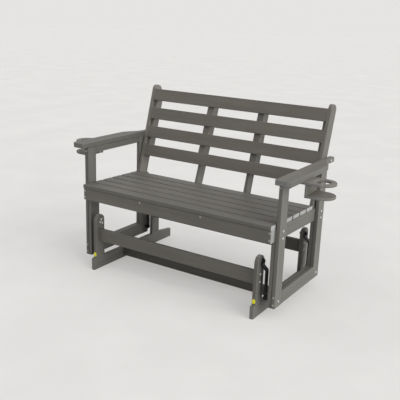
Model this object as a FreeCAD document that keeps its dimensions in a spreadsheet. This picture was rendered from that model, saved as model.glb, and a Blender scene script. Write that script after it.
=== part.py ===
import FreeCAD, Part
import Sketcher
import os
import re

# A two-seat glider bench in solid plastic boards: a floor frame, four steel hangers and the bench
# that swings on them. The bench stands on the floor at Z 0 and faces -Y. Left is -X.

DOC = FreeCAD.newDocument("GliderBench")
SIZES = DOC.addObject("Spreadsheet::Sheet", "sizes")

# Driving sizes, in millimetres and degrees
DRIVING = [
    ("board", 19, "thickness of every flat board"),
    ("edge_round", 2.2, "round-over of the board edges"),
    ("frame_half", 572, "middle of the bench to the outer face of a leg"),
    ("seat_inset", 25, "outer face of a leg to the ends of the seat slats"),
    ("base_inset", 82, "outer face of a leg to the outer face of a foot"),
    ("leg_deep", 66, "front-to-back size of a leg"),
    ("leg_front", -302, "front face of the front legs"),
    ("frame_clear", 57, "floor to the underside of the bench frame"),
    ("bottom_rail_tall", 66, "height of the rail between the leg feet"),
    ("arm_top", 673.5, "floor to the top of the arms"),
    ("arm_thick", 24, "thickness of the arms"),
    ("arm_front", -341, "front end of the arms"),
    ("arm_rear", 275, "rear end of the arms"),
    ("arm_wide", 79, "width of the arm where the hand rests"),
    ("arm_rear_wide", 29, "width of the arm behind its neck"),
    ("arm_neck_front", 74, "where the arm starts to narrow"),
    ("arm_neck_rear", 169, "where the arm has narrowed"),
    ("arm_neck_round", 91, "radius of the arm's neck curve"),
    ("arm_front_round", 25, "radius of the arm's outer front corner"),
    ("arm_corner_round", 8, "radius of the arm's other corners"),
    ("arm_rail_tall", 36, "height of the rail under the arm"),
    ("seat_height", 461.5, "floor to the seat's front edge"),
    ("seat_slope", 1.5, "fall of the seat towards the back, in degrees"),
    ("seat_slats", 6, "number of seat slats"),
    ("slat_wide", 67, "width of a seat slat"),
    ("slat_gap", 9.9, "gap between seat slats"),
    ("slat_overhang", 4, "front slat past the front of the apron"),
    ("apron_thick", 38, "thickness of the front apron"),
    ("apron_tall", 62, "height of the front apron"),
    ("side_rail_tall", 63, "height of the side rails and joists under the seat"),
    ("joist_place", 179, "middle of the bench to the middle of a joist"),
    ("back_lean", 15.9, "lean of the back from upright, in degrees"),
    ("back_clear", 2.2, "gap between the seat and the plane of the back"),
    ("back_slats", 4, "number of back slats"),
    ("back_slat_wide", 65, "width of a back slat"),
    ("back_slat_pitch", 107, "back slat to back slat, up the back"),
    ("back_slat_first", 116.5, "seat underside to the lowest back slat"),
    ("back_rail_tall", 55, "height of the rail at the foot of the back"),
    ("back_rail_drop", 4, "seat underside to the top of that rail"),
    ("stile_deep", 66, "front-to-back size of the outer back stile"),
    ("stile_tall", 529.5, "length of the outer back stile above the seat rail"),
    ("stile_round", 27, "radius of the outer back stile's top corners"),
    ("inner_stile_tall", 495.5, "reach of the inner stiles above the seat rail"),
    ("middle_stile_drop", 68.5, "reach of the middle stiles below the seat slats"),
    ("middle_stile_place", 162, "middle of the bench to the joint between a middle stile's two plies"),
    ("middle_stile_deep", 54, "front-to-back size of a middle stile"),
    ("left_stile_skew", 2.4, "lean of the left middle stile to the right, in degrees"),
    ("left_stile_turn", 92, "height up the back at which that stile stands in its place"),
    ("cup_reach", 66, "outer edge of the arm to the middle of the cup"),
    ("cup_place", -149, "middle of the cup, front to back"),
    ("cup_radius", 61, "outer radius of the cup ring and its shelf"),
    ("cup_bore", 35.5, "radius of the hole in the cup ring"),
    ("cup_board", 12, "thickness of the cup ring and its shelf"),
    ("cup_plate", 10, "thickness of the plate between ring and shelf"),
    ("cup_plate_gap", 6, "outer edge of the arm to the inner face of that plate"),
    ("cup_depth", 59, "top of the cup ring to the top of the shelf"),
    ("cup_root", 46, "reach of the cup ring under the arm"),
    ("ring_screw_inset", 31, "outer edge of the arm to the screws that hold the cup ring"),
    ("foot_front", -351, "front end of the feet"),
    ("foot_rear", 351, "rear end of the feet"),
    ("foot_tall", 64.5, "height of a foot"),
    ("foot_tip_tall", 49, "height of a foot at its rear tip"),
    ("foot_slope_run", 122, "length of the slope to the rear tip"),
    ("upright_deep", 66, "front-to-back size of an upright"),
    ("front_upright_inset", 42, "front face of a front upright to its pivot"),
    ("rear_upright_inset", 19, "front face of a rear upright to its pivot"),
    ("upright_top", 301, "floor to the top of the uprights"),
    ("upright_round", 32, "radius of the uprights' top corners"),
    ("front_stretcher_inset", 22, "front face of a front upright to its stretcher"),
    ("front_stretcher_low", 158, "floor to the front stretcher"),
    ("rear_stretcher_inset", 11, "front face of a rear upright to its stretcher"),
    ("rear_stretcher_low", 169, "floor to the rear stretcher"),
    ("stretcher_tall", 66, "height of the front and rear stretchers"),
    ("centre_stretcher_place", -108, "front face of the low centre stretcher"),
    ("centre_stretcher_low", 13, "floor to the centre stretcher"),
    ("centre_stretcher_tall", 51, "height of the centre stretcher"),
    ("front_pivot_inset", 10, "front face of a front leg to its pivot"),
    ("rear_pivot_inset", 46, "front face of a rear leg to its pivot"),
    ("pivot_pitch", 472, "front pivots to rear pivots"),
    ("pivot_top", 272.5, "floor to the upper pivots"),
    ("pivot_drop", 176.5, "upper pivot to lower pivot"),
    ("pin_radius", 5, "radius of the pivot bolts"),
    ("pin_play", 0.08, "radial play of a hanger on its bolt"),
    ("bolt_play", 0.05, "radial play of a bolt in a board or a washer"),
    ("hanger_wide", 25, "width of a hanger bar"),
    ("hanger_thick", 6, "thickness of a hanger bar"),
    ("hanger_gap", 3, "washer between a hanger and its upright"),
    ("spacer_long", 13.5, "spacer between a hanger and its leg"),
    ("spacer_radius", 8, "radius of that spacer"),
    ("hanger_bend_round", 5, "radius of the bends in a hanger"),
    ("joggle_start", 22, "upper pivot down to the start of the joggle"),
    ("joggle_drop", 19, "height over which the hanger steps outward"),
    ("washer_radius", 10, "radius of the pivot washers"),
    ("bolt_head_radius", 9, "radius of the pivot bolt heads"),
    ("bolt_head_thick", 5, "thickness of the pivot bolt heads"),
    ("bolt_bite", 13, "reach of a lower bolt into the outer ply of its leg"),
    ("nut_radius", 9.5, "corner radius of the pivot nuts"),
    ("nut_thick", 8, "thickness of the pivot nuts"),
    ("screw_head_radius", 4.8, "radius of a wood screw's head"),
    ("screw_flat_radius", 3.4, "radius of the flat on top of that head"),
    ("screw_head_thick", 1.8, "height of a wood screw's head"),
    ("screw_radius", 1.8, "radius of a wood screw's shank"),
    ("screw_bite", 26, "reach of a long screw into the second board"),
    ("short_bite", 15, "reach of a short screw into the second board"),
    ("stretcher_screw_pitch", 38, "upper screws of a stretcher to the lower ones"),
    ("foot_screw_inset", 16, "edges of an upright to the screws that run up into it"),
    ("foot_screw_sink", 14, "floor to the heads of those screws"),
    ("nut_screw_ahead", 9, "upper pivot forward to the first small screw beside its nut"),
    ("nut_screw_high", 14, "upper pivot down to that screw"),
    ("nut_screw_behind", 7, "upper pivot back to the second small screw"),
    ("nut_screw_low", 22, "upper pivot down to the second small screw"),
    ("apron_screw_inset", 14, "long edges of the apron to its end screws"),
    ("joist_screw_drop", 11, "top of the apron to the screw into a joist"),
    ("rail_screw_low", 16, "underside of the bench frame to the lower screw into a bottom rail"),
    ("rail_screw_high", 54, "underside of the bench frame to the upper screw into a bottom rail"),
    ("arm_rail_screw", 20, "underside of the arm to the screw into the arm rail"),
    ("leg_screw_place", 37, "front face of a leg to the screws in its outer face"),
    ("leg_screw_low", 26, "underside of the bench frame to the lowest of those screws"),
    ("side_screw_high", 16, "seat slats down to the upper screw into a side rail"),
    ("side_screw_low", 50, "seat slats down to the lower screw into a side rail"),
    ("arm_screw_back", 43, "rear end of the arm to the screw in its side"),
    ("cup_screw_spread", 36, "middle of the cup to the screws of its holder, front to back"),
    ("plug_wide", 16, "width of the oval caps on the front uprights"),
    ("plug_tall", 24, "height of those caps"),
    ("plug_thick", 1.5, "thickness of those caps"),
    ("plug_height", 82, "floor to the middle of those caps"),
]

# Places worked out from the driving sizes
PLACES = {
    "soft_edge": "min(edge_round; 0.4 * board)",
    "thin_edge": "min(edge_round; 0.25 * cup_board)",
    "seat_half": "frame_half - seat_inset",
    "base_half": "frame_half - base_inset",
    "arm_under": "arm_top - arm_thick",
    "arm_out": "seat_half + arm_wide",
    "arm_rear_out": "seat_half + arm_rear_wide",
    "pivot_front": "leg_front + front_pivot_inset",
    "pivot_rear": "pivot_front + pivot_pitch",
    "leg_back": "leg_front + leg_deep",
    "rear_leg_front": "pivot_rear - rear_pivot_inset",
    "rear_leg_back": "rear_leg_front + leg_deep",
    "upright_front": "pivot_front - front_upright_inset",
    "upright_rear": "pivot_rear - rear_upright_inset",
    "front_stretcher_place": "upright_front + front_stretcher_inset",
    "rear_stretcher_place": "upright_rear + rear_stretcher_inset",
    "inner_ply": "frame_half - 2 * board",
    "outer_ply": "frame_half - board",
    "seat_front": "leg_front - apron_thick - slat_overhang",
    "seat_deep": "seat_slats * slat_wide + (seat_slats - 1) * slat_gap",
    "slat_drop": "board / cos(seat_slope)",
    "apron_top": "seat_height - slat_drop - tan(seat_slope) * (slat_overhang + apron_thick)",
    "back_y": "seat_front + cos(seat_slope) * seat_deep - sin(seat_slope) * board + back_clear",
    "back_z": "seat_height - slat_drop - tan(seat_slope) * (back_y - seat_front)",
    "joist_tail": "side_rail_tall / cos(seat_slope) / (1 + tan(seat_slope) * tan(back_lean))",
    "middle_stile_rear": "board + middle_stile_deep",
    "cup_x": "arm_out + cup_reach",
    "plate_in": "arm_out + cup_plate_gap",
    "plate_out": "plate_in + cup_plate",
    "ring_low": "arm_under - cup_board",
    "shelf_top": "arm_under - cup_depth",
    "shelf_low": "arm_under - cup_depth - cup_board",
    "foot_inside": "base_half - board",
    "pivot_low": "pivot_top - pivot_drop",
    "hanger_in": "base_half + hanger_gap",
    "hanger_low_in": "inner_ply - spacer_long - hanger_thick",
    "joggle_high": "pivot_top - joggle_start",
    "joggle_low": "joggle_high - joggle_drop",
    "joggle_lift": "hanger_thick * tan(atan((hanger_low_in - hanger_in) / joggle_drop) / 2)",
}

SIDES = (("left", -1), ("right", 1))
STRETCHERS = (("front", "stretcher_tall"), ("rear", "stretcher_tall"), ("centre", "centre_stretcher_tall"))
DIRECTIONS = {"X": FreeCAD.Vector(1, 0, 0), "Y": FreeCAD.Vector(0, 1, 0), "Z": FreeCAD.Vector(0, 0, 1)}
PARTS = {}

# Two places closer than this are the same one
SAME = 1e-4
# How far a cut runs past the face where it starts
PAST = 1
# The largest share of a width that two corner rounds may each take
NEARLY_HALF = 0.49


def fill_sheet():
    """Write each driving size, its alias and its meaning into the spreadsheet."""
    for row, (alias, value, meaning) in enumerate(DRIVING, start=1):
        SIZES.set(f"A{row}", meaning)
        SIZES.set(f"B{row}", str(value))
        SIZES.setAlias(f"B{row}", alias)
    DOC.recompute()


def expand(text):
    """Turn size and place names into an expression on the spreadsheet."""
    aliases = {alias for alias, value, meaning in DRIVING}

    def swap(match):
        word = match.group(0)
        if word in PLACES:
            return f"({expand(PLACES[word])})"
        return f"sizes.{word}" if word in aliases else word

    return re.sub(r"[a-z_]+", swap, str(text))


def number(text):
    """Value of an expression now."""
    return float(SIZES.evalExpression(expand(text)))


def bind(item, prop, text):
    """Tie a property to an expression."""
    item.setExpression(prop, expand(text))


def span(side, low, high):
    """Sideways span from the middle of the bench, for the left or the right side."""
    return (low, high) if side > 0 else (f"-({high})", f"-({low})")


def sideways(side, place):
    """Sideways place for the left or the right side."""
    return place if side > 0 else f"-({place})"


def under_slats(y):
    """Height of the slats' underside at a place front to back."""
    return f"(seat_height - slat_drop - tan(seat_slope) * (({y}) - (seat_front)))"


def under_rails(y):
    """Height of the side rails' underside at a place front to back."""
    return f"({under_slats(y)} - side_rail_tall / cos(seat_slope))"


# Building steps


def new_body(label):
    body = DOC.addObject("PartDesign::Body", label)
    body.Label = label
    PARTS[label] = body
    return body


def tilt(body, y, z, angle):
    """Stand the body's own frame at (0, y, z), leaning by the angle about X."""
    body.Placement = FreeCAD.Placement(FreeCAD.Vector(), FreeCAD.Rotation(DIRECTIONS["X"], number(angle)))
    bind(body, ".Placement.Base.y", y)
    bind(body, ".Placement.Base.z", z)
    bind(body, ".Placement.Rotation.Angle", angle)


def block(body, x, y, z):
    """Add a box with the (low, high) spans x, y and z."""
    box = body.newObject("PartDesign::AdditiveBox", f"{body.Name}_block")
    for size, place, (low, high) in (("Length", "x", x), ("Width", "y", y), ("Height", "z", z)):
        bind(box, size, f"({high}) - ({low})")
        bind(box, f"Placement.Base.{place}", low)
    DOC.recompute()
    return box


def extrude(body, plane, points, low, high):
    """Pad a closed outline. Its points lie on an origin plane, and low and high are on its normal."""
    sketch = body.newObject("Sketcher::SketchObject", f"{body.Name}_outline")
    origin_plane = next(item for item in body.Origin.OriginFeatures if item.Role == plane)
    sketch.AttachmentSupport = [(origin_plane, "")]
    sketch.MapMode = "FlatFace"
    bind(sketch, "AttachmentOffset.Base.z", low)
    corners = [FreeCAD.Vector(number(across), number(up), 0) for across, up in points]
    count = len(corners)
    for index in range(count):
        sketch.addGeometry(Part.LineSegment(corners[index], corners[(index + 1) % count]), False)
    for index in range(count):
        sketch.addConstraint(Sketcher.Constraint("Coincident", index, 2, (index + 1) % count, 1))
    for index, (across, up) in enumerate(points):
        corner = corners[index]
        for kind, text, value in (("DistanceX", across, corner.x), ("DistanceY", up, corner.y)):
            place = sketch.addConstraint(Sketcher.Constraint(kind, -1, 1, index, 1, value))
            bind(sketch, f"Constraints[{place}]", text)
    pad = body.newObject("PartDesign::Pad", f"{body.Name}_pad")
    pad.Profile = sketch
    bind(pad, "Length", f"({high}) - ({low})")
    DOC.recompute()
    return pad


def round_edges(body, feature, radius, chosen):
    """Fillet the edges of the feature that the test chooses."""
    names = [f"Edge{index}" for index, edge in enumerate(feature.Shape.Edges, start=1) if chosen(edge)]
    fillet = body.newObject("PartDesign::Fillet", f"{body.Name}_round")
    fillet.Base = (feature, names)
    bind(fillet, "Radius", radius)
    DOC.recompute()
    return fillet


def along(axis):
    """Test for a straight edge along an axis."""
    def chosen(edge):
        run = edge.Vertexes[-1].Point - edge.Vertexes[0].Point
        return run.Length > SAME and abs(run.dot(DIRECTIONS[axis])) > run.Length - SAME
    return chosen


def outlines(axis, above=None):
    """Test for an edge of the faces square to an axis, and only above a height if one is given."""
    def chosen(edge):
        box = edge.BoundBox
        reach = {"X": box.XLength, "Y": box.YLength, "Z": box.ZLength}[axis]
        return reach < SAME and (above is None or box.ZMax > above + SAME)
    return chosen


def upper_corners(feature):
    """Test for the edges along X at the top of a feature."""
    top = feature.Shape.BoundBox.ZMax
    return lambda edge: along("X")(edge) and edge.BoundBox.ZMin > top - PAST


def long_edges(edge):
    """Test for the long edges of a rail."""
    return edge.Length > 4 * number("board")


def board_between(label, axis, x, y, z, pose=None):
    """A straight board with its long edges rounded over."""
    body = new_body(label)
    box = block(body, x, y, z)
    round_edges(body, box, "soft_edge", along(axis))
    if pose:
        tilt(body, *pose)
    return body


def bore(body, side, y, z, radius, low, high):
    """Drill a hole along X through the span from low to high."""
    hole = body.newObject("PartDesign::SubtractiveCylinder", f"{body.Name}_bore")
    start, end = span(side, low, high)
    hole.Placement = FreeCAD.Placement(FreeCAD.Vector(), FreeCAD.Rotation(DIRECTIONS["Z"], DIRECTIONS["X"]))
    bind(hole, "Placement.Base.x", start)
    bind(hole, "Placement.Base.y", y)
    bind(hole, "Placement.Base.z", z)
    bind(hole, "Radius", radius)
    bind(hole, "Height", f"({end}) - ({start})")
    DOC.recompute()


# The floor frame


def make_foot(name, side):
    body = new_body(f"foot_{name}")
    points = [
        ("foot_front", "0"),
        ("foot_rear", "0"),
        ("foot_rear", "foot_tip_tall"),
        ("foot_rear - foot_slope_run", "foot_tall"),
        ("foot_front", "foot_tall"),
    ]
    pad = extrude(body, "YZ_Plane", points, *span(side, "foot_inside", "base_half"))
    round_edges(body, pad, "soft_edge", outlines("X", above=0))


def make_upright(name, side, end, front):
    body = new_body(f"upright_{end}_{name}")
    x = span(side, "foot_inside", "base_half")
    box = block(body, x, (front, f"{front} + upright_deep"), ("foot_tall", "upright_top"))
    crown = round_edges(body, box, f"min(upright_round; {NEARLY_HALF} * upright_deep)", upper_corners(box))
    round_edges(body, crown, "soft_edge", outlines("X", above=number("foot_tall")))
    bore(body, side, f"pivot_{end}", "pivot_top", "pin_radius + bolt_play",
         f"foot_inside - {PAST}", f"base_half + {PAST}")


def make_stretchers():
    for end, tall in STRETCHERS:
        place = f"{end}_stretcher_place"
        low = f"{end}_stretcher_low"
        board_between(f"stretcher_{end}", "X", ("-(foot_inside)", "foot_inside"),
                      (place, f"{place} + board"), (low, f"{low} + {tall}"))


def make_hanger(name, side, end):
    """A flat steel bar that steps outward below its upper pivot."""
    body = new_body(f"hanger_{end}_{name}")
    bottom = "pivot_low - hanger_wide / 2"
    top = "pivot_top + hanger_wide / 2"
    steps = [
        ("hanger_in", top),
        ("hanger_in", "joggle_high"),
        ("hanger_low_in", "joggle_low"),
        ("hanger_low_in", bottom),
        ("hanger_low_in + hanger_thick", bottom),
        ("hanger_low_in + hanger_thick", "joggle_low + joggle_lift"),
        ("hanger_in + hanger_thick", "joggle_high + joggle_lift"),
        ("hanger_in + hanger_thick", top),
    ]
    points = [(sideways(side, across), up) for across, up in steps]
    pivot = f"pivot_{end}"
    # The XZ plane looks along -Y, so places along its normal change sign
    rear = f"-({pivot} + hanger_wide / 2)"
    front = f"-({pivot} - hanger_wide / 2)"
    pad = extrude(body, "XZ_Plane", points, rear, front)
    ends = round_edges(body, pad, f"{NEARLY_HALF} * hanger_wide", along("X"))
    low, high = number("pivot_low"), number("pivot_top")
    bends = lambda edge: along("Y")(edge) and low < edge.BoundBox.ZMin < high
    round_edges(body, ends, "hanger_bend_round", bends)
    hole = "pin_radius + pin_play"
    for height, inside in (("pivot_top", "hanger_in"), ("pivot_low", "hanger_low_in")):
        bore(body, side, pivot, height, hole, f"{inside} - {PAST}", f"{inside} + hanger_thick + {PAST}")


# The bench


def make_leg(name, side, end, front):
    y = (front, f"{front} + leg_deep")
    outer = board_between(f"leg_{end}_{name}_outer", "Z", span(side, "outer_ply", "frame_half"), y,
                          ("frame_clear", "arm_under"))
    inner = new_body(f"leg_{end}_{name}_inner")
    points = [
        (y[0], "frame_clear"),
        (y[1], "frame_clear"),
        (y[1], under_rails(y[1])),
        (y[0], under_rails(y[0])),
    ]
    pad = extrude(inner, "YZ_Plane", points, *span(side, "inner_ply", "outer_ply"))
    round_edges(inner, pad, "soft_edge", along("Z"))
    # The bolt passes through the inner ply and ends inside the outer one
    bolt_end = "outer_ply + bolt_bite"
    for body, low, high in ((outer, "outer_ply", bolt_end), (inner, "inner_ply", "outer_ply")):
        bore(body, side, f"pivot_{end}", "pivot_low", "pin_radius + bolt_play",
             f"{low} - {PAST}", f"{high} + {PAST}")


def make_side_frame(name, side):
    """Rails that join the front and rear legs of one side."""
    between = ("leg_back", "rear_leg_front")
    board_between(f"bottom_rail_{name}", "Y", span(side, "inner_ply", "frame_half"), between,
                  ("frame_clear", "frame_clear + bottom_rail_tall"))
    board_between(f"arm_rail_{name}", "Y", span(side, "outer_ply", "frame_half"), between,
                  ("arm_under - arm_rail_tall", "arm_under"))
    rail = new_body(f"side_rail_{name}")
    points = [
        ("leg_front", under_rails("leg_front")),
        ("rear_leg_back", under_rails("rear_leg_back")),
        ("rear_leg_back", under_slats("rear_leg_back")),
        ("leg_front", under_slats("leg_front")),
    ]
    pad = extrude(rail, "YZ_Plane", points, *span(side, "inner_ply", "outer_ply"))
    round_edges(rail, pad, "soft_edge", long_edges)


def make_joist(name, side):
    """A board under the slats, from the apron to the rail at the foot of the back."""
    body = new_body(f"seat_joist_{name}")
    points = [
        ("leg_front", under_rails("leg_front")),
        ("back_y - joist_tail * tan(back_lean)", "back_z - joist_tail"),
        ("back_y", "back_z"),
        ("leg_front", under_slats("leg_front")),
    ]
    x = span(side, "joist_place - board / 2", "joist_place + board / 2")
    pad = extrude(body, "YZ_Plane", points, *x)
    round_edges(body, pad, "soft_edge", long_edges)


def make_seat():
    board_between("seat_apron", "X", ("-seat_half", "seat_half"), ("leg_front - apron_thick", "leg_front"),
                  ("apron_top - apron_tall", "apron_top"))
    for index in range(int(number("seat_slats"))):
        front = f"{index} * (slat_wide + slat_gap)"
        board_between(f"seat_slat_{index + 1}", "X", ("-seat_half", "seat_half"),
                      (front, f"{front} + slat_wide"), ("-board", "0"),
                      ("seat_front", "seat_height", "-seat_slope"))


def make_back():
    """Boards in the leaning frame of the back: Y runs to the rear of it and Z up along it."""
    lean = ("back_y", "back_z", "-back_lean")
    for index in range(int(number("back_slats"))):
        low = f"back_slat_first + {index} * back_slat_pitch"
        board_between(f"back_slat_{index + 1}", "X", ("-(seat_half - board)", "seat_half - board"),
                      ("0", "board"), (low, f"{low} + back_slat_wide"), lean)
    board_between("back_foot_rail", "X", ("-(inner_ply)", "inner_ply"), ("0", "board"),
                  ("-(back_rail_drop + back_rail_tall)", "-back_rail_drop"), lean)
    joint = "seat_half - board"
    for name, side in SIDES:
        outer = new_body(f"back_stile_{name}_outer")
        points = [
            ("0", "0"),
            ("stile_deep", "stile_deep * tan(back_lean - seat_slope)"),
            ("stile_deep", "stile_tall"),
            ("0", "stile_tall"),
        ]
        pad = extrude(outer, "YZ_Plane", points, *span(side, joint, "seat_half"))
        crown = round_edges(outer, pad, f"min(stile_round; {NEARLY_HALF} * stile_deep)", upper_corners(pad))
        round_edges(outer, crown, "soft_edge", outlines("X", above=number("stile_deep")))
        tilt(outer, *lean)
        board_between(f"back_stile_{name}_inner", "Z", span(side, f"{joint} - board", joint),
                      ("board", "stile_deep"), ("back_slat_first", "inner_stile_tall"), lean)
        make_middle_stile(name, side, lean)


def make_middle_stile(name, side, lean):
    """Two plies behind the slats. The outer one starts at the lowest slat."""
    body = new_body(f"back_stile_{name}_middle")
    steps = [
        ("middle_stile_place - board", "-middle_stile_drop"),
        ("middle_stile_place", "-middle_stile_drop"),
        ("middle_stile_place", "back_slat_first"),
        ("middle_stile_place + board", "back_slat_first"),
        ("middle_stile_place + board", "inner_stile_tall"),
        ("middle_stile_place - board", "inner_stile_tall"),
    ]
    skew = "left_stile_skew" if side < 0 else "0"
    points = [
        (f"{sideways(side, across)} + tan({skew}) * ({up} - left_stile_turn)", up) for across, up in steps
    ]
    # The XZ plane looks along -Y, so places along its normal change sign
    pad = extrude(body, "XZ_Plane", points, "-(middle_stile_rear)", "-(board)")
    round_edges(body, pad, "soft_edge", long_edges)
    tilt(body, *lean)


def make_arm(name, side):
    body = new_body(f"arm_{name}")
    corners = [
        ("seat_half", "arm_front", "arm_corner_round"),
        ("arm_out", "arm_front", "arm_front_round"),
        ("arm_out", "arm_neck_front", "arm_neck_round"),
        ("arm_rear_out", "arm_neck_rear", "arm_neck_round"),
        ("arm_rear_out", "arm_rear", "arm_corner_round"),
        ("seat_half", "arm_rear", "arm_corner_round"),
    ]
    points = [(sideways(side, across), y) for across, y, radius in corners]
    feature = extrude(body, "XY_Plane", points, "arm_under", "arm_top")
    for radius in ("arm_neck_round", "arm_front_round", "arm_corner_round"):
        places = [(side * number(across), number(y)) for across, y, own in corners if own == radius]

        def at_corner(edge):
            spot = edge.Vertexes[0].Point
            near = any(abs(spot.x - x) < SAME and abs(spot.y - y) < SAME for x, y in places)
            return near and along("Z")(edge)

        feature = round_edges(body, feature, radius, at_corner)
    round_edges(body, feature, "soft_edge", outlines("Z"))


def cup_cylinder(body, kind, side, radius, low, height):
    """Add or cut an upright cylinder at the middle of a cup. An added one is the outer half alone."""
    item = body.newObject(f"PartDesign::{kind}Cylinder", f"{body.Name}_{kind}")
    if kind == "Additive":
        item.Angle = 180
        item.Placement = FreeCAD.Placement(FreeCAD.Vector(), FreeCAD.Rotation(DIRECTIONS["Z"], -90 * side))
    for prop, text in (("Radius", radius), ("Height", height), ("Placement.Base.x", sideways(side, "cup_x")),
                       ("Placement.Base.y", "cup_place"), ("Placement.Base.z", low)):
        bind(item, prop, text)
    DOC.recompute()
    return item


def make_cup_holder(name, side):
    """A ring under the arm's edge, a shelf below it and the plate that joins them."""
    wide = ("cup_place - cup_radius", "cup_place + cup_radius")
    for label, root, low in (("cup_ring", "arm_out - cup_root", "ring_low"),
                             ("cup_shelf", "plate_out", "shelf_low")):
        body = new_body(f"{label}_{name}")
        block(body, span(side, root, "cup_x"), wide, (low, f"{low} + cup_board"))
        feature = cup_cylinder(body, "Additive", side, "cup_radius", low, "cup_board")
        if label == "cup_ring":
            feature = cup_cylinder(body, "Subtractive", side, "cup_bore", f"{low} - {PAST}",
                                   f"cup_board + {2 * PAST}")
        round_edges(body, feature, "thin_edge", outlines("Z"))
    board_between(f"cup_plate_{name}", "Z", span(side, "plate_in", "plate_out"), wide,
                  ("shelf_low", "ring_low"))


# Fasteners


def rod(kind, place, heading, **sizes):
    """A cylinder, cone or prism that starts at a place and points along a heading."""
    item = DOC.addObject(f"Part::{kind}", "fastener")
    turn = FreeCAD.Rotation(DIRECTIONS["Z"], FreeCAD.Vector(*heading))
    item.Placement = FreeCAD.Placement(FreeCAD.Vector(), turn)
    for letter, text in zip("xyz", place):
        bind(item, f".Placement.Base.{letter}", text)
    for prop, text in sizes.items():
        bind(item, prop, text)
    return item


def join(items):
    fused = DOC.addObject("Part::MultiFuse", "fastener")
    fused.Shapes = items
    return fused


def group(label, items):
    compound = DOC.addObject("Part::Compound", label)
    compound.Label = label
    compound.Links = items
    PARTS[label] = compound


def wood_screw(place, heading, length):
    """A low-headed screw whose head sits on the board at the place and whose shank runs along heading."""
    outward = [-part for part in heading]
    head = rod("Cone", place, outward, Radius1="screw_head_radius", Radius2="screw_flat_radius",
               Height="screw_head_thick")
    shank = rod("Cylinder", place, heading, Radius="screw_radius", Height=length)
    return join([head, shank])


def make_base_screws():
    screws = []
    for name, side in SIDES:
        outer_face = sideways(side, "base_half")
        inner_face = sideways(side, "foot_inside")
        middle = sideways(side, "base_half - board / 2")
        # Uprights and feet into the ends of the stretchers
        for end, tall in STRETCHERS:
            for sign in "+-":
                z = f"{end}_stretcher_low + {tall} / 2 {sign} stretcher_screw_pitch / 2"
                place = (outer_face, f"{end}_stretcher_place + board / 2", z)
                screws.append(wood_screw(place, (-side, 0, 0), "board + screw_bite"))
        for end, front in (("front", "upright_front"), ("rear", "upright_rear")):
            # Feet up into the uprights
            for back in ("foot_screw_inset", "upright_deep - foot_screw_inset"):
                place = (middle, f"{front} + {back}", "foot_screw_sink")
                screws.append(wood_screw(place, (0, 0, 1), "foot_tall - foot_screw_sink + screw_bite"))
            # Small screws beside the nut
            pivot = f"pivot_{end}"
            for y, down in ((f"{pivot} - nut_screw_ahead", "nut_screw_high"),
                            (f"{pivot} + nut_screw_behind", "nut_screw_low")):
                screws.append(wood_screw((inner_face, y, f"pivot_top - {down}"), (side, 0, 0), "short_bite"))
    group("base_screws", screws)


def make_bench_screws():
    screws = []
    apron_face = "leg_front - apron_thick"
    into_apron = "apron_thick + screw_bite"
    into_end = "leg_deep + screw_bite"
    for name, side in SIDES:
        def drive(x, y, z, heading, length):
            screws.append(wood_screw((sideways(side, x), y, z), heading, length))

        # Apron into the joists and the side rails
        drive("joist_place", apron_face, "apron_top - joist_screw_drop", (0, 1, 0), into_apron)
        for down in ("apron_screw_inset", "apron_tall - apron_screw_inset"):
            drive("(inner_ply + seat_half) / 2", apron_face, f"apron_top - ({down})", (0, 1, 0), into_apron)
        # Legs into the ends of the bottom rail and the arm rail
        ply = "frame_half - board / 2"
        for z in ("frame_clear + rail_screw_low", "frame_clear + rail_screw_high",
                  "arm_under - arm_rail_screw"):
            drive(ply, "leg_front", z, (0, 1, 0), into_end)
            drive(ply, "rear_leg_back", z, (0, -1, 0), into_end)
        # Outer ply into the side rail and the inner ply
        inward = (-side, 0, 0)
        for front in ("leg_front", "rear_leg_front"):
            y = f"{front} + leg_screw_place"
            seat = under_slats(y)
            for z in (f"{seat} - side_screw_high", f"{seat} - side_screw_low",
                      "frame_clear + leg_screw_low"):
                drive("frame_half", y, z, inward, "board + short_bite")
        # Arm into the outer back stile
        drive("arm_rear_out", "arm_rear - arm_screw_back", "arm_top - arm_thick / 2", inward,
              "arm_rear_wide + short_bite")
        # Cup ring up into the arm, and plate into the shelf
        for spread in ("- cup_screw_spread", "+ cup_screw_spread"):
            y = f"cup_place {spread}"
            drive("arm_out - ring_screw_inset", y, "ring_low", (0, 0, 1), "cup_board + short_bite")
            drive("plate_in", y, "shelf_low + cup_board / 2", (side, 0, 0), "cup_plate + screw_bite")
    group("bench_screws", screws)


def collar(place, heading, radius, length):
    """A washer or a spacer on a pivot bolt."""
    disc = rod("Cylinder", place, heading, Radius=radius, Height=length)
    hole = rod("Cylinder", place, heading, Radius="pin_radius + bolt_play", Height=length)
    ring = DOC.addObject("Part::Cut", "fastener")
    ring.Base = disc
    ring.Tool = hole
    return ring


def make_upper_bolts():
    """A bolt through each upright, with its head outside the hanger and its nut inside the upright."""
    items = []
    for name, side in SIDES:
        outward = (side, 0, 0)
        for end in ("front", "rear"):
            y = f"pivot_{end}"
            at = lambda x: (sideways(side, x), y, "pivot_top")
            head = rod("Cylinder", at("hanger_in + hanger_thick"), outward, Radius="bolt_head_radius",
                       Height="bolt_head_thick")
            shank = rod("Cylinder", at("foot_inside - nut_thick"), outward, Radius="pin_radius",
                        Height="nut_thick + board + hanger_gap + hanger_thick")
            nut = rod("Prism", at("foot_inside - nut_thick"), outward, Circumradius="nut_radius",
                      Height="nut_thick")
            items.append(join([head, shank, nut]))
            items.append(collar(at("base_half"), outward, "washer_radius", "hanger_gap"))
    group("upper_pivot_bolts", items)


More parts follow.
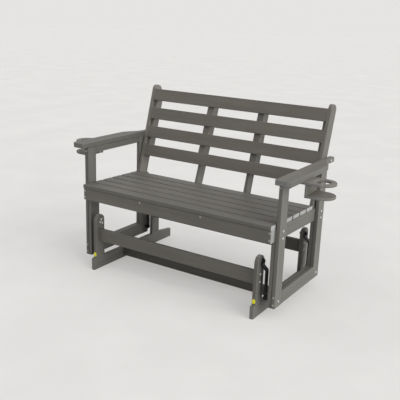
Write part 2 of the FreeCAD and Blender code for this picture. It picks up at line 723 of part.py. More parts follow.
def make_lower_bolts():
    """A bolt through each hanger and both plies of its leg, with its head inside the hanger."""
    items = []
    for name, side in SIDES:
        outward = (side, 0, 0)
        for end in ("front", "rear"):
            y = f"pivot_{end}"
            at = lambda x: (sideways(side, x), y, "pivot_low")
            head = rod("Cylinder", at("hanger_low_in - bolt_head_thick"), outward, Radius="bolt_head_radius",
                       Height="bolt_head_thick")
            shank = rod("Cylinder", at("hanger_low_in"), outward, Radius="pin_radius",
                        Height="hanger_thick + spacer_long + board + bolt_bite")
            items.append(join([head, shank]))
            items.append(collar(at("hanger_low_in + hanger_thick"), outward, "spacer_radius", "spacer_long"))
    group("lower_pivot_bolts", items)


def make_plugs():
    """A flat oval cap on the front edge of each front upright."""
    plugs = []
    bow = "(plug_tall - plug_wide) / 2"
    for name, side in SIDES:
        middle = sideways(side, "base_half - board / 2")
        ends = [
            rod("Cylinder", (middle, "upright_front", f"plug_height {sign} {bow}"), (0, -1, 0),
                Radius="plug_wide / 2", Height="plug_thick")
            for sign in "+-"
        ]
        corner = (f"{middle} - plug_wide / 2", "upright_front", f"plug_height - {bow}")
        body = rod("Box", corner, (0, -1, 0), Length="plug_wide", Width=f"2 * {bow}", Height="plug_thick")
        plugs.append(join([*ends, body]))
    group("upright_plugs", plugs)


# The whole bench


def make_all():
    fill_sheet()
    make_stretchers()
    for name, side in SIDES:
        make_foot(name, side)
        for end, upright, leg in (("front", "upright_front", "leg_front"),
                                  ("rear", "upright_rear", "rear_leg_front")):
            make_upright(name, side, end, upright)
            make_hanger(name, side, end)
            make_leg(name, side, end, leg)
        make_side_frame(name, side)
        make_joist(name, side)
        make_arm(name, side)
        make_cup_holder(name, side)
    make_seat()
    make_back()
    make_base_screws()
    make_bench_screws()
    make_upper_bolts()
    make_lower_bolts()
    make_plugs()
    DOC.recompute()


def check_and_write():
    """Stop if anything failed, then write one file for each sub-part."""
    for item in DOC.Objects:
        if "Invalid" in item.State or "Error" in item.State:
            raise RuntimeError(f"{item.Label} failed: {item.State}")
    for label, item in PARTS.items():
        if item.Shape.isNull() or not item.Shape.isValid():
            raise RuntimeError(f"{label} has no valid shape")
    os.makedirs("parts", exist_ok=True)
    for label, item in PARTS.items():
        item.Shape.exportStep(f"parts/{label}.step")
    whole = Part.makeCompound([item.Shape for item in PARTS.values()]).BoundBox
    print(f"{len(PARTS)} sub-parts, {whole.XLength:.1f} x {whole.YLength:.1f} x {whole.ZLength:.1f} mm")


make_all()
check_and_write()
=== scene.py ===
"""Glider bench in dark plastic boards: finishes, fasteners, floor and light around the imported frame.

Lengths are in metres. The bench stands on the floor at Z 0 and faces -Y, and left is -X.
"""
import math

import bpy
import bmesh
import numpy as np
from mathutils import Matrix, Vector


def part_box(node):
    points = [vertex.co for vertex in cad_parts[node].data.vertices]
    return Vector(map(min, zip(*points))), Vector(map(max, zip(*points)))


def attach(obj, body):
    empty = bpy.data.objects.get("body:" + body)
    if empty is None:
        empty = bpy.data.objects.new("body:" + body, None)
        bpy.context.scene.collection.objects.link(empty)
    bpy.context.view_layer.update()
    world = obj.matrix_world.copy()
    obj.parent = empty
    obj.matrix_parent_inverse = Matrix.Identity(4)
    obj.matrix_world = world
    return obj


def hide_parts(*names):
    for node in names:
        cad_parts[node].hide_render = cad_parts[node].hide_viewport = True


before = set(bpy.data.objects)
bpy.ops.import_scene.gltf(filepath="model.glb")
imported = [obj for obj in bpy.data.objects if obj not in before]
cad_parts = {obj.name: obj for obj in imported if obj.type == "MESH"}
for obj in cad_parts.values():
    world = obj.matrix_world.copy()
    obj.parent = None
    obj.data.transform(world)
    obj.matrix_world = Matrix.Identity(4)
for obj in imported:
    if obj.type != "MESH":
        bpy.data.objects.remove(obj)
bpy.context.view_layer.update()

MM = 0.001
BACK_LEAN = math.radians(15.9)
SEAT_SLOPE = math.radians(1.5)


# Camera

CAMERA_PLACE = (1.6952, -2.7492, 1.3538)
CAMERA_TURN = math.radians(32.2)
CAMERA_DOWN = math.radians(16.6)
CAMERA_ROLL = math.radians(2.1)
SENSOR_WIDTH = 36
PICTURE_PIXELS = 400
FOCAL_PIXELS = 641.3
CENTRE_PIXEL = (200.7, 201.6)


def place_camera():
    """Look along the fitted direction, with the picture's right and up turned by the roll."""
    ahead = Vector((-math.sin(CAMERA_TURN) * math.cos(CAMERA_DOWN),
                    math.cos(CAMERA_TURN) * math.cos(CAMERA_DOWN),
                    -math.sin(CAMERA_DOWN)))
    level_right = ahead.cross(Vector((0, 0, 1))).normalized()
    level_up = level_right.cross(ahead)
    right = level_right * math.cos(CAMERA_ROLL) + level_up * math.sin(CAMERA_ROLL)
    up = -level_right * math.sin(CAMERA_ROLL) + level_up * math.cos(CAMERA_ROLL)
    data = bpy.data.cameras.new("camera")
    data.sensor_width = SENSOR_WIDTH
    data.lens = FOCAL_PIXELS / PICTURE_PIXELS * SENSOR_WIDTH
    data.shift_x = (PICTURE_PIXELS / 2 - CENTRE_PIXEL[0]) / PICTURE_PIXELS
    data.shift_y = (CENTRE_PIXEL[1] - PICTURE_PIXELS / 2) / PICTURE_PIXELS
    data.clip_start = 0.05
    data.clip_end = 200
    camera = bpy.data.objects.new("camera", data)
    turn = Matrix((right, up, -ahead)).transposed().to_4x4()
    camera.matrix_world = Matrix.Translation(CAMERA_PLACE) @ turn
    bpy.context.scene.collection.objects.link(camera)
    bpy.context.scene.camera = camera


# Shader maths

class Value:
    """A socket of a node tree. Arithmetic on it adds Math nodes."""

    def __init__(self, nodes, socket):
        self.nodes = nodes
        self.socket = socket

    def math(self, operation, *others):
        """A Math node on this socket and the others, in that order."""
        inputs = dict(enumerate((self, *others)))
        return self.nodes.node("ShaderNodeMath", {"operation": operation}, inputs)

    def __add__(self, other):
        return self.math("ADD", other)

    __radd__ = __add__

    def __mul__(self, other):
        return self.math("MULTIPLY", other)

    __rmul__ = __mul__

    def __sub__(self, other):
        return self.math("SUBTRACT", other)

    def __rsub__(self, other):
        return self.nodes.node("ShaderNodeMath", {"operation": "SUBTRACT"}, {0: other, 1: self})

    def __abs__(self):
        return self.math("ABSOLUTE")

    def step(self, low, high):
        """0 below low, 1 above high and smooth between them."""
        return self.nodes.node("ShaderNodeMapRange", {"interpolation_type": "SMOOTHSTEP"},
                               {"Value": self, "From Min": low, "From Max": high})


class Nodes:
    """A node tree, with the one method that adds nodes to it."""

    def __init__(self, tree):
        self.tree = tree

    def node(self, kind, settings, inputs, output=0):
        """Add a node: its settings first, then the values or links of its sockets."""
        made = self.tree.nodes.new(kind)
        for key, setting in settings.items():
            setattr(made, key, setting)
        for key, value in inputs.items():
            self.feed(made.inputs[key], value)
        return Value(self, made.outputs[output])

    def feed(self, socket, value):
        """Link a Value to a socket, or set a plain number, vector or colour on it."""
        if isinstance(value, Value):
            self.tree.links.new(value.socket, socket)
        else:
            socket.default_value = value

    def seen(self):
        """1 on the rays of the camera and of reflections, 0 on the rays that light the object."""
        camera = self.node("ShaderNodeLightPath", {}, {}, "Is Camera Ray")
        return camera.math("MAXIMUM", self.node("ShaderNodeLightPath", {}, {}, "Is Glossy Ray"))


# Sockets of a Mix node that mixes colours
MIX_SHARE, MIX_FIRST, MIX_SECOND, MIX_RESULT = 0, 6, 7, 2


class Finish(Nodes):
    """A material with one Principled shader."""

    def __init__(self, name):
        self.material = bpy.data.materials.new(name)
        self.material.use_nodes = True
        super().__init__(self.material.node_tree)
        self.shader = self.tree.nodes["Principled BSDF"]

    def set(self, **sockets):
        """Set or link the shader's own sockets."""
        for key, value in sockets.items():
            self.feed(self.shader.inputs[key.replace("_", " ")], value)
        return self.material

    def mapped(self, vector, kind="POINT", **moves):
        """A vector scaled, turned and moved by a Mapping node."""
        return self.node("ShaderNodeMapping", {"vector_type": kind}, {"Vector": vector, **moves})

    def place(self, turn=0.0):
        """Object coordinates, turned about X so that the leaning boards' own axes are level."""
        point = self.node("ShaderNodeTexCoord", {}, {}, "Object")
        return self.mapped(point, Rotation=(turn, 0, 0))

    def facing(self, turn):
        """Object-space normal in the same turned axes, as three values."""
        normal = self.node("ShaderNodeTexCoord", {}, {}, "Normal")
        normal = self.mapped(normal, "NORMAL", Rotation=(turn, 0, 0))
        return [self.node("ShaderNodeSeparateXYZ", {}, {0: normal}, axis) for axis in range(3)]

    def noise(self, point, scale=1.0, detail=2.0, roughness=0.5):
        """Noise about a middle of 0.5, finer as scale rises."""
        return self.node("ShaderNodeTexNoise", {"noise_dimensions": "3D"},
                         {"Vector": point, "Scale": scale, "Detail": detail, "Roughness": roughness})

    def mix(self, share, first, second):
        """Mix of two colours."""
        inputs = {MIX_SHARE: share, MIX_FIRST: first, MIX_SECOND: second}
        return self.node("ShaderNodeMix", {"data_type": "RGBA"}, inputs, MIX_RESULT)

    def bump(self, height, strength, distance, below=None):
        """Bumped normal, on top of the one below if there is one."""
        inputs = {"Height": height, "Strength": strength, "Distance": distance}
        if below is not None:
            inputs["Normal"] = below
        return self.node("ShaderNodeBump", {}, inputs)


def linear(red, green, blue):
    """Colour of a picture, 0 to 255, as the shader's linear colour, by the sRGB curve."""
    shares = np.array((red, green, blue)) / 255
    bent = np.where(shares <= 0.04045, shares / 12.92, ((shares + 0.055) / 1.055) ** 2.4)
    return (*(float(part) for part in bent), 1.0)


# Finishes

BOARD_COLOUR = np.array((101, 98, 93))


def ply_line(finish, point, normal, joint):
    """1 on the line where two plies meet, left and right of the middle, but not on their wide faces."""
    across = finish.node("ShaderNodeSeparateXYZ", {}, {0: point})
    near = 1 - abs(abs(across) - joint).step(0.6 * MM, 3.0 * MM)
    return near * (1 - abs(normal[0]).step(0.85, 0.98))


def board_finish(name, grain, turn, tone, warm, cut, offset, joint):
    """Coloured-through plastic board: brushed along the grain, sawn at its cut ends, and lighter on its
    rounded edges, partly as rubbed wear and partly as a painted highlight.

    tone scales the board's lightness and cut that of its cut ends, warm moves its colour from blue to red,
    and offset shifts its streaks. joint is the place across the bench where two plies meet, or None.
    """
    finish = Finish(name)
    axis = "XYZ".index(grain)
    point = finish.place(turn)
    normal = finish.facing(turn)
    shift = (offset, 0.37 * offset, 0.71 * offset)

    def along_grain(fineness, stretch):
        """Coordinates in which noise is drawn out along the grain, more as stretch falls below 1."""
        scale = [fineness] * 3
        scale[axis] = fineness * stretch
        return finish.mapped(point, Scale=scale, Location=shift)

    broad = finish.noise(along_grain(fineness=26, stretch=0.05), detail=3, roughness=0.6)
    fine = finish.noise(along_grain(fineness=260, stretch=0.018), detail=4, roughness=0.65)
    hair = finish.noise(along_grain(fineness=900, stretch=0.012), detail=2)
    saw = finish.noise(along_grain(fineness=230, stretch=1), detail=3, roughness=0.7)
    blotch = finish.noise(point, scale=5.0, detail=3)
    streak = (broad - 0.5) * 0.9 + (fine - 0.5) * 1.1 + (hair - 0.5) * 0.35 + (blotch - 0.5) * 0.5

    # A cut end faces along the grain, and a rounded edge faces between the two other axes
    end = abs(normal[axis]).step(0.80, 0.97)
    first, second = [abs(normal[other]).step(0.12, 0.4) for other in range(3) if other != axis]
    rounded = first * second * (1 - end)

    base = BOARD_COLOUR * tone + np.array((warm, 0, -warm))
    dark, pale = linear(*(base * 0.90)), linear(*(base * 1.10))
    # Lighter colour of the rounded edges: partly rubbed wear, partly a painted highlight along the
    # round-overs.
    wear_and_highlight = linear(*(base * 1.12 + 2))
    # Cut ends are lighter as sawn plastic; on the seat slats the extra lightness is painted light.
    sawn = linear(*(base.mean() * cut + np.array((4, 4, 2))))
    colour = finish.mix((streak * 0.9 + 0.5).step(0, 1), dark, pale)
    colour = finish.mix(rounded * 0.55, colour, wear_and_highlight)
    colour = finish.mix(end * saw.step(0.22, 0.6), colour, sawn)

    rough = 0.56 + (fine - 0.5) * 0.22 + (blotch - 0.5) * 0.12 + end * 0.14 - rounded * 0.06
    relief = (fine * 0.65 + hair * 0.35) * (1 - end) + saw * end * 0.9
    if joint is not None:
        line = ply_line(finish, point, normal, joint)
        colour = finish.mix(line * 0.85, colour, linear(*(base * 0.2)))
        relief = relief - line * 2
    skin = finish.bump(relief, strength=0.35, distance=0.6 * MM)
    return finish.set(Base_Color=colour, Roughness=rough, Normal=skin, IOR=1.5, Specular_IOR_Level=0.45)


def black_steel():
    """Satin black coat with an orange-peel skin, and grey specks that are partly rubbed wear and partly
    painted glints.
    """
    finish = Finish("black_powder_coat")
    point = finish.place()
    peel = finish.noise(point, scale=900, detail=2)
    wave = finish.noise(point, scale=110, detail=2)
    speck = finish.noise(point, scale=420, detail=3, roughness=0.7)
    # Grey specks: partly rubbed wear, partly painted glints on the black coat.
    wear_and_highlight = speck.step(0.62, 0.68)
    colour = finish.mix(wear_and_highlight, linear(17, 17, 18), linear(150, 150, 152))
    fine_skin = finish.bump(peel, strength=0.3, distance=0.3 * MM)
    skin = finish.bump(wave, strength=0.8, distance=3 * MM, below=fine_skin)
    return finish.set(Base_Color=colour, Roughness=0.34 + (peel - 0.5) * 0.2, Specular_IOR_Level=0.22,
                      Coat_Weight=wear_and_highlight * 0.5, Coat_Roughness=0.15, Normal=skin)


def bright_steel(name, shade, metal):
    """Zinc-plated or stainless steel with fine turning marks and dull spots."""
    finish = Finish(name)
    point = finish.place()
    spots = finish.noise(point, scale=380, detail=3, roughness=0.65)
    marks = finish.noise(finish.mapped(point, Scale=(2400, 360, 2400)), detail=2)
    dull = linear(*(np.array(shade) * 0.82))
    colour = finish.mix(spots.step(0.35, 0.7), dull, linear(*shade))
    rough = 0.30 + (spots - 0.5) * 0.25 + (marks - 0.5) * 0.12
    skin = finish.bump(marks, strength=0.15, distance=0.1 * MM)
    return finish.set(Base_Color=colour, Metallic=metal, Roughness=rough, Normal=skin)


def nylon():
    """Off-white nylon of the lock nuts' collars, faintly mottled."""
    finish = Finish("nylon_collar")
    point = finish.place()
    mottle = finish.noise(point, scale=500, detail=2)
    colour = finish.mix(mottle, linear(196, 198, 196), linear(222, 224, 221))
    return finish.set(Base_Color=colour, Roughness=0.42 + (mottle - 0.5) * 0.15)


def yellow_plastic():
    """Glossy moulded yellow plastic, mottled and finely pitted."""
    finish = Finish("yellow_plastic")
    point = finish.place()
    mottle = finish.noise(point, scale=260, detail=3)
    pits = finish.noise(point, scale=1500, detail=2)
    colour = finish.mix(mottle, linear(222, 212, 0), linear(246, 236, 28))
    skin = finish.bump(pits, strength=0.2, distance=0.2 * MM)
    return finish.set(Base_Color=colour, Roughness=0.33 + (mottle - 0.5) * 0.2, Normal=skin)


# Surfaces

def round_angles(columns):
    """Equal steps of angle round the circle, without its end."""
    return np.arange(columns) * 2 * np.pi / columns


def grid_faces(rows, columns):
    """Four-sided faces of a grid: each joins two rows and two columns, and the last column the first."""
    row, column = np.meshgrid(np.arange(rows - 1), np.arange(columns), indexing="ij")
    first = row * columns + column
    second = row * columns + (column + 1) % columns
    return np.stack((first, second, second + columns, first + columns), axis=-1).reshape(-1, 4)


def spread(profile, columns):
    """A profile's one number for each row, repeated in every column. Full rows stay as they are."""
    profile = np.asarray(profile, float)
    return profile if profile.ndim == 2 else np.repeat(profile[:, None], columns, axis=1)


def turned(radius, height, columns):
    """Surface of revolution: a point is at radius times cosine and sine of the angle, and at height.

    The profile's radius and height have one number for each row, or one for each row and column.
    """
    angle = round_angles(columns)
    radius, height = spread(radius, columns), spread(height, columns)
    points = np.stack((radius * np.cos(angle), radius * np.sin(angle), height), axis=-1).reshape(-1, 3)
    return points, grid_faces(len(radius), columns)


def placed(surface, place, heading, number=0):
    """A part of a piece: a surface turned so that its +Z goes along heading, and moved to place.

    number is the place of the part's finish in the list that the piece is given.
    """
    points, faces = surface
    turn = np.array(Vector((0, 0, 1)).rotation_difference(Vector(heading)).to_matrix())
    return points @ turn.T + np.asarray(place), faces, number


# Pieces

MERGE = 2e-6
SHARP_EDGE = math.radians(38)


def close_mesh(mesh, outwards):
    """Merge the doubles at seams and poles, and turn the faces outwards if that is asked."""
    work = bmesh.new()
    work.from_mesh(mesh)
    bmesh.ops.remove_doubles(work, verts=work.verts, dist=MERGE)
    if outwards:
        bmesh.ops.recalc_face_normals(work, faces=work.faces)
    work.to_mesh(mesh)
    work.free()


def make_piece(name, parts, finishes, body, replaced):
    """One smooth-shaded mesh object from its (points, faces, finish number) parts."""
    points, faces, numbers, count = [], [], [], 0
    for part_points, part_faces, number in parts:
        points.append(part_points)
        faces.append(part_faces + count)
        numbers.append(np.full(len(part_faces), number, np.int32))
        count += len(part_points)
    mesh = bpy.data.meshes.new(name)
    mesh.from_pydata(np.concatenate(points).tolist(), [], np.concatenate(faces).tolist())
    mesh.polygons.foreach_set("material_index", np.concatenate(numbers))
    for finish in finishes:
        mesh.materials.append(finish)
    close_mesh(mesh, outwards=True)
    mesh.shade_smooth()
    mesh.set_sharp_from_angle(angle=SHARP_EDGE)
    piece = bpy.data.objects.new(name, mesh)
    bpy.context.scene.collection.objects.link(piece)
    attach(piece, body)
    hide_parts(*replaced)


def solids_of(node):
    """Vertices of each separate solid of a node.

    Vertices in the same place to a thousandth of a millimetre are one, and each face passes the lowest
    label of its corners to them all, until nothing changes.
    """
    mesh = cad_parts[node].data
    places = np.empty(len(mesh.vertices) * 3)
    mesh.vertices.foreach_get("co", places)
    places = places.reshape(-1, 3)
    merged, index = np.unique(np.round(places, 6), axis=0, return_inverse=True)
    corners = np.empty(len(mesh.loops), np.int64)
    mesh.loops.foreach_get("vertex_index", corners)
    triangles = index.reshape(-1)[corners].reshape(-1, 3)
    label = np.arange(len(merged))
    while True:
        lowest = label[triangles].min(axis=1)
        passed = label.copy()
        for corner in range(3):
            np.minimum.at(passed, triangles[:, corner], lowest)
        if np.array_equal(passed, label):
            break
        label = passed
    return [merged[label == one] for one in np.unique(label)]


def box_of(solid):
    """Lowest corner, highest corner and middle of a solid."""
    low, high = solid.min(axis=0), solid.max(axis=0)
    return low, high, (low + high) / 2


# Screws: the radius, rim, height and underside of a head, its recess, and the plain head that it replaces

SCREW_HEAD = 5.3 * MM
SCREW_RIM = 0.7 * MM
SCREW_CROWN = 2.1 * MM
SCREW_UNDERSIDE = -0.15 * MM
RECESS_DEPTH = 1.3 * MM
CAD_HEAD = 1.8 * MM


def recess_bar(across, along):
    """A bar of the cross recess: 1 inside, falling evenly with the distance over its sides and tips."""
    half_width, half_length = 0.6 * MM, 2.6 * MM
    side_fade, tip_fade = 0.25 * MM, 0.4 * MM
    within_sides = np.clip((half_width - across) / side_fade + 0.5, 0, 1)
    return within_sides * np.clip((half_length - along) / tip_fade, 0, 1)


def screw_head():
    """Pan head: a short rim, then a dome, with a cross recess sunk into its middle.

    Over the dome the height climbs as a sine, and the radius falls as a power of the cosine.
    """
    climb = np.linspace(0, np.pi / 2, 15)
    radius = np.concatenate(([0, SCREW_HEAD * 0.97, SCREW_HEAD], SCREW_HEAD * np.cos(climb) ** 0.72))
    height = np.concatenate(([SCREW_UNDERSIDE, SCREW_UNDERSIDE, 0],
                             SCREW_RIM + (SCREW_CROWN - SCREW_RIM) * np.sin(climb)))
    points, faces = turned(radius, height, columns=40)
    x, y = np.abs(points[:, 0]), np.abs(points[:, 1])
    cross = np.maximum(recess_bar(x, y), recess_bar(y, x))
    points[:, 2] -= np.where(points[:, 2] > SCREW_RIM, cross * RECESS_DEPTH, 0)
    return points, faces


def screw_shank(length):
    """Shank under the head, downwards: plain neck, then a thread of ridges, then a point.

    Each ridge goes from the core to the crest and back within one pitch.
    """
    pitch = 2.6 * MM
    neck_radius, core, crest = 1.7 * MM, 1.35 * MM, 2.0 * MM
    neck, step, point = 0.35 * length, 0.2 * MM, 4 * MM
    turns = int((length - neck) / pitch)
    ridge = np.arange(turns)[:, None] + np.array((0, 0.45, 0.72))
    radius = np.concatenate(([0, neck_radius, neck_radius], np.tile((core, core, crest), turns), [core, 0]))
    thread = -(neck + ridge * pitch).ravel()
    height = np.concatenate(([0, 0, -neck + step], thread, [-length + point, -length]))
    return turned(radius, height, columns=10)


def axis_and_ends(solid):
    """The long axis of a straight fastener, its middle, its low and high end, and its radius near each."""
    low, high, middle = box_of(solid)
    axis = int(np.argmax(high - low))
    others = [other for other in range(3) if other != axis]
    reach = np.hypot(*(solid[:, others] - middle[others]).T)
    near = 0.3 * MM
    low_radius = reach[solid[:, axis] < low[axis] + near].max()
    high_radius = reach[solid[:, axis] > high[axis] - near].max()
    return axis, middle, low[axis], high[axis], low_radius, high_radius


def make_screws(name, node, body, finishes):
    """Detailed screws in the place of the node's plain ones: the head is at the wider end.

    Screws whose heads face the front take the last finish, a darker steel that is painted shade.
    """
    head = screw_head()
    parts = []
    for solid in solids_of(node):
        axis, middle, low, high, low_radius, high_radius = axis_and_ends(solid)
        outward = 1 if high_radius > low_radius else -1
        heading = np.zeros(3)
        heading[axis] = outward
        seat = middle.copy()
        seat[axis] = high - CAD_HEAD if outward > 0 else low + CAD_HEAD
        number = len(finishes) - 1 if heading[1] < 0 else 0
        parts.append(placed(head, seat, heading, number))
        parts.append(placed(screw_shank(high - low - CAD_HEAD), seat, heading, number))
    make_piece(name, parts, finishes, body, (node,))


# Pivot bolts: PIN is a radius, a half width runs from the axis to a flat, and the two sections, of the nut's
# nylon collar and of the head's flange, list the radius and height of each point that is turned

PIN = 5 * MM
PIN_PLAY = 0.05 * MM
SHORTEST_BOLT = 20 * MM
HEAD_THICK = 5 * MM
HEAD_HALF = 8.0 * MM
NUT_THICK = 8 * MM
NUT_HALF = 8.2 * MM
NUT_STEEL = 5.6 * MM
NUT_COLLAR = np.array(((5, 5.4), (6.9, 5.4), (6.9, 7.3), (6.3, 7.9), (5, 7.9), (5, 5.4))) * MM
FLANGE = np.array(((0, 0), (8.6, 0), (8.9, 0.4), (8.2, 0.9), (0, 0.9))) * MM

# Number of each finish in the lists that the bolts' pieces are given
BLACK, BRIGHT, COLLAR = 0, 1, 2


def hexagon(half, low, high):
    """Hexagonal prism whose upper corners are cut by a 30 degree cone.

    Its reach is the half width over the cosine of the angle from the middle of a flat. Its upper edge
    falls by the tangent of 30 degrees times the reach outside the cone.
    """
    columns = 48
    reach = half / np.cos((round_angles(columns) % (np.pi / 3)) - np.pi / 6)
    fall = (reach - half * 0.97) * math.tan(math.radians(30))
    centre, crown = np.zeros(columns), np.full(columns, half * 0.95)
    bottom, top = np.full(columns, low), np.full(columns, high)
    radius = np.stack((centre, reach, reach, crown, centre))
    height = np.stack((bottom, bottom, high - fall, top, top))
    return turned(radius, height, columns)


def threaded_end(radius, low, high):
    """Bolt end with thread ridges and a bevelled tip, along +Z. Each ridge falls back within one pitch."""
    pitch = 1.5 * MM
    deep = radius * 0.86
    ridges = max(int((high - low - 1.2 * MM) / pitch), 1)
    ridge = np.arange(ridges)[:, None] + np.array((0.05, 0.2, 0.62))
    profile = np.concatenate(([0, deep], np.tile((radius, radius, deep), ridges), [radius, radius * 0.8, 0]))
    height = np.concatenate(([low, low], low + (ridge * pitch).ravel(), [high - 0.8 * MM, high, high]))
    return turned(profile, height, columns=32)


def ring(inner, outer, thick):
    """Washer with softened rims, turned from its cut section."""
    soft = 0.3 * MM
    radius = (inner, outer - soft, outer, outer, outer - soft, inner, inner)
    height = (0, 0, soft, thick - soft, thick, thick, 0)
    return turned(radius, height, columns=40)


def flanged_head(seat, heading, short):
    """Hexagon head, a little short of the plain one's height, on a thin flange turned from its section."""
    head = hexagon(HEAD_HALF, low=0.6 * MM, high=HEAD_THICK - short)
    flange = turned(*FLANGE.T, columns=48)
    return [placed(head, seat, heading, BLACK), placed(flange, seat, heading, BLACK)]


def pivot_solids(node):
    """Bolts and collars of a pivot node, told apart by their length along X."""
    solids = solids_of(node)
    bolts = [one for one in solids if np.ptp(one[:, 0]) > SHORTEST_BOLT]
    collars = [one for one in solids if np.ptp(one[:, 0]) <= SHORTEST_BOLT]
    return bolts, collars


def bolt_ends(bolt):
    """A bolt's direction outwards, its inner and outer end, and its length without its head."""
    low, high, middle = box_of(bolt)
    outward = np.array((1 if middle[0] > 0 else -1, 0, 0))
    outer, inner = (high[0], low[0]) if middle[0] > 0 else (low[0], high[0])
    inner_end = np.array((inner, middle[1], middle[2]))
    outer_end = np.array((outer, middle[1], middle[2]))
    return outward, inner_end, outer_end, abs(outer - inner) - HEAD_THICK


def make_upper_bolts(black, bright, collar):
    """Black hexagon heads outside the hangers, bright lock nuts on the uprights' inner faces."""
    node = "upper_pivot_bolts"
    bolts, collars = pivot_solids(node)
    heads, nuts = [], []
    for bolt in bolts:
        outward, inner_end, outer_end, length = bolt_ends(bolt)
        heads += flanged_head(outer_end - outward * HEAD_THICK, outward, short=0.4 * MM)
        pin = turned((0, PIN, PIN, 0), (0, 0, length, length), columns=32)
        heads.append(placed(pin, inner_end, outward, BRIGHT))
        nut_seat = inner_end + outward * NUT_THICK
        bolt_end = threaded_end(PIN * 0.98, low=5.0 * MM, high=9.6 * MM)
        nuts.append(placed(hexagon(NUT_HALF, low=0, high=NUT_STEEL), nut_seat, -outward, BRIGHT))
        nuts.append(placed(turned(*NUT_COLLAR.T, columns=40), nut_seat, -outward, COLLAR))
        nuts.append(placed(bolt_end, nut_seat, -outward, BLACK))
    make_piece("upper_bolt_heads", heads, [black, bright], "base", (node,))
    make_piece("upper_lock_nuts", nuts, [black, bright, collar], "base", (node,))
    return collars


def make_lower_bolts(black, bright):
    """Black hexagon heads inside the hangers, on threaded pins that go outwards into the legs."""
    node = "lower_pivot_bolts"
    bolts, collars = pivot_solids(node)
    heads = []
    for bolt in bolts:
        outward, inner_end, _, length = bolt_ends(bolt)
        seat = inner_end + outward * HEAD_THICK
        heads += flanged_head(seat, -outward, short=0.1 * MM)
        heads.append(placed(threaded_end(PIN, low=0, high=length), seat, outward, BRIGHT))
    make_piece("lower_pivot_pins", heads, [black, bright], "bench", (node,))
    return collars


def make_collars(name, solids, body, finish, node):
    """Washers or spacers round the pivot bolts."""
    parts = []
    for solid in solids:
        low, high, middle = box_of(solid)
        washer = ring(PIN + PIN_PLAY, np.ptp(solid[:, 1]) / 2, high[0] - low[0])
        parts.append(placed(washer, (low[0], middle[1], middle[2]), (1, 0, 0)))
    make_piece(name, parts, [finish], body, (node,))


def make_caps(finish):
    """Oval caps: a stepped rim and a shallow dome with a moulding dimple.

    Over the dome the height climbs as a sine, and the radius falls as a power of the cosine. The dimple
    is a bell curve of the distance from the middle. Then the round cap's two halves move apart, and
    straight sides join them.
    """
    parts = []
    for solid in solids_of("upright_plugs"):
        low, high, middle = box_of(solid)
        half = (high[0] - low[0]) / 2
        tall = high[1] - low[1]
        climb = np.linspace(0, np.pi / 2, 12)
        radius = np.concatenate(([0, half, half, half * 0.93], half * 0.88 * np.cos(climb) ** 0.8))
        height = np.concatenate(([0, 0, 0.35 * tall, 0.45 * tall], (0.45 + 0.55 * np.sin(climb)) * tall))
        points, faces = turned(radius, height, columns=48)
        distance = np.hypot(points[:, 0], points[:, 1])
        dimple = 0.14 * tall * np.exp(-(distance / (0.22 * half)) ** 2)
        points[:, 2] -= dimple * (points[:, 2] > 0.5 * tall)
        apart = np.clip(points[:, 1] / (0.05 * half), -1, 1)
        points[:, 1] += apart * ((high[2] - low[2]) / 2 - half)
        parts.append(placed((points, faces), (middle[0], high[1], middle[2]), (0, -1, 0)))
    make_piece("upright_caps", parts, [finish], "base", ("upright_plugs",))


# Boards: the start of the name, the grain's axis, the turn that levels a leaning board, its tone and warmth,
# and the lightness of its cut ends. The first row that fits a name counts.

BOARDS = (
    ("stretcher_front", "X", 0.0, 0.96, 0.8, 1.2),
    # The stretchers behind the front one are darker as painted shade, for the shade under the bench.
    ("stretcher_", "X", 0.0, 0.76, 0.8, 1.2),
    ("seat_apron", "X", 0.0, 1.0, 0.6, 1.6),
    # The seat slats' cut ends are lighter partly for the sawn plastic's paler colour and partly as painted
    # light, where the arms shade them.
    ("seat_slat_", "X", SEAT_SLOPE, 0.96, 0.2, 1.9),
    ("back_slat_", "X", BACK_LEAN, 0.97, 1.8, 1.2),
    ("back_foot_rail", "X", BACK_LEAN, 0.95, 0.5, 1.2),
    ("foot_", "Y", 0.0, 0.96, 0.2, 1.2),
    ("bottom_rail_", "Y", 0.0, 1.0, 0.0, 1.2),
    # The left arm rail is darker as painted shade, for the light that falls from the right.
    ("arm_rail_left", "Y", 0.0, 0.91, 0.0, 1.2),
    ("arm_rail_", "Y", 0.0, 0.97, 0.0, 1.2),
    ("side_rail_", "Y", 0.0, 1.0, -0.4, 1.2),
    ("seat_joist_", "Y", 0.0, 0.95, 0.0, 1.2),
    # The left arm is darker as painted shade, for the light that falls from the right.
    ("arm_left", "Y", 0.0, 0.90, 0.4, 1.2),
    ("arm_right", "Y", 0.0, 1.03, 0.2, 1.2),
    ("cup_", "Y", 0.0, 1.05, 1.6, 1.2),
    ("upright_", "Z", 0.0, 0.96, 0.6, 1.6),
    ("leg_front_left_outer", "Z", 0.0, 0.96, 0.0, 1.2),
    ("leg_front_left_inner", "Z", 0.0, 1.06, 0.2, 1.2),
    ("leg_", "Z", 0.0, 1.03, 0.2, 1.2),
    ("back_stile_left", "Z", BACK_LEAN, 1.1, 1.2, 1.3),
    ("back_stile_", "Z", BACK_LEAN, 1.0, 0.8, 1.3),
)

# How far a board's own tone and the place of its streaks are drawn from its family's
TONE_SPREAD = 0.018
STREAK_SPREAD = 40
DRAW_SEED = 7


def paint(name, material):
    """Put a material on a node by its object's own slots."""
    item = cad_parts[name]
    if not item.material_slots:
        item.data.materials.append(material)
    for place in item.material_slots:
        place.link = "OBJECT"
        place.material = material


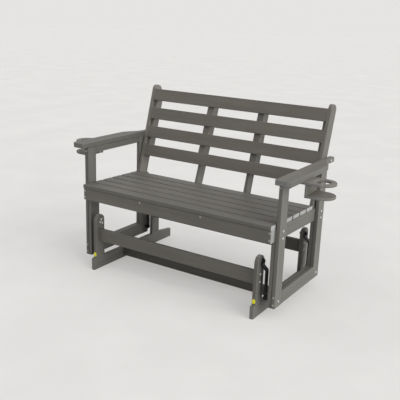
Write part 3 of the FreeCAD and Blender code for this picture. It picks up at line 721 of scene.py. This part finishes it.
def dress_boards():
    """One finish for each board, so that no two boards share their streaks or quite their tone."""
    draw = np.random.default_rng(DRAW_SEED)
    low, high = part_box("bottom_rail_right")
    ply_joint = (low[0] + high[0]) / 2
    for name in sorted(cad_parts):
        family = next((row for row in BOARDS if name.startswith(row[0])), None)
        if family is None or name == "upright_plugs":
            continue
        grain, turn, tone, warm, cut = family[1:]
        own_tone = tone * (1 + draw.uniform(-TONE_SPREAD, TONE_SPREAD))
        offset = draw.uniform(0, STREAK_SPREAD)
        joint = ply_joint if name.startswith(("bottom_rail_", "leg_")) else None
        paint(name, board_finish(f"board_{name}", grain, turn, own_tone, warm, cut, offset, joint))


def dress_hangers(material):
    """The same coat on all four hangers."""
    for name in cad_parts:
        if name.startswith("hanger_"):
            paint(name, material)


# Floor and light

SKY_COLOUR = (0.95, 0.98, 1.0, 1)
SKY_STRENGTH = 0.37

# Each lamp's name, the direction towards it, its angle in degrees, its strength and its colour
LAMPS = (
    ("right_lamp", (0.93, -0.08, 0.36), 60, 3.05, (0.97, 1.0, 0.985)),
    ("top_lamp", (-0.10, -0.30, 0.95), 90, 1.1, (1.0, 0.99, 0.98)),
)


def make_floor():
    """A wide round floor of rings that widen outwards, pale and faintly mottled."""
    radius = (0, 0.5, 1, 2, 4, 8, 16, 40)
    points, faces = turned(radius, np.zeros(len(radius)), columns=96)
    mesh = bpy.data.meshes.new("floor")
    mesh.from_pydata(points.tolist(), [], faces.tolist())
    close_mesh(mesh, outwards=False)
    finish = Finish("pale_floor")
    point = finish.place()
    mottle = finish.noise(point, scale=2.2, detail=5, roughness=0.55)
    colour = finish.mix(mottle.step(0.35, 0.7), linear(167, 166, 165), linear(173, 172, 171))
    glow = finish.mix(finish.seen(), linear(0, 0, 0), linear(161, 159, 157))
    mesh.materials.append(finish.set(Base_Color=colour, Roughness=0.9, Specular_IOR_Level=0.1,
                                     Emission_Color=glow, Emission_Strength=1.0))
    floor = bpy.data.objects.new("floor", mesh)
    bpy.context.scene.collection.objects.link(floor)


def make_sky():
    """An even pale sky that lights the object, and a paler one that the camera and reflections see."""
    world = bpy.data.worlds.new("studio")
    world.use_nodes = True
    bpy.context.scene.world = world
    sky = Nodes(world.node_tree)
    light = sky.tree.nodes["Background"]
    light.inputs["Color"].default_value = SKY_COLOUR
    light.inputs["Strength"].default_value = SKY_STRENGTH
    backdrop = sky.node("ShaderNodeBackground", {}, {"Color": linear(229, 228, 227)})
    both = {0: sky.seen(), 1: Value(sky, light.outputs[0]), 2: backdrop}
    mixed = sky.node("ShaderNodeMixShader", {}, both)
    sky.feed(sky.tree.nodes["World Output"].inputs["Surface"], mixed)


def make_lamps():
    """A large soft lamp from the right and a weaker one from above."""
    for name, toward, angle, power, colour in LAMPS:
        data = bpy.data.lights.new(name, "SUN")
        data.angle = math.radians(angle)
        data.energy = power
        data.color = colour
        lamp = bpy.data.objects.new(name, data)
        lamp.rotation_euler = (-Vector(toward)).to_track_quat("-Z", "Y").to_euler()
        bpy.context.scene.collection.objects.link(lamp)


# The whole scene

place_camera()
bpy.context.scene.view_settings.view_transform = "Standard"
dress_boards()
steel = black_steel()
dress_hangers(steel)
plated = bright_steel("bright_zinc", (226, 226, 223), metal=0.45)
stainless = bright_steel("screw_stainless", (244, 243, 240), metal=0.55)
nut_collar = nylon()
# Darker steel for the screws that face the front: painted shade on the apron's screws.
front_screw_shade = bright_steel("screw_painted_shade", (178, 175, 170), metal=0.45)
make_screws("base_screw_set", "base_screws", "base", [stainless])
make_screws("bench_screw_set", "bench_screws", "bench", [stainless, front_screw_shade])
upper_washers = make_upper_bolts(steel, plated, nut_collar)
lower_spacers = make_lower_bolts(steel, plated)
make_collars("upper_washers", upper_washers, "base", plated, "upper_pivot_bolts")
make_collars("lower_spacers", lower_spacers, "bench", steel, "lower_pivot_bolts")
make_caps(yellow_plastic())
make_floor()
make_sky()
make_lamps()
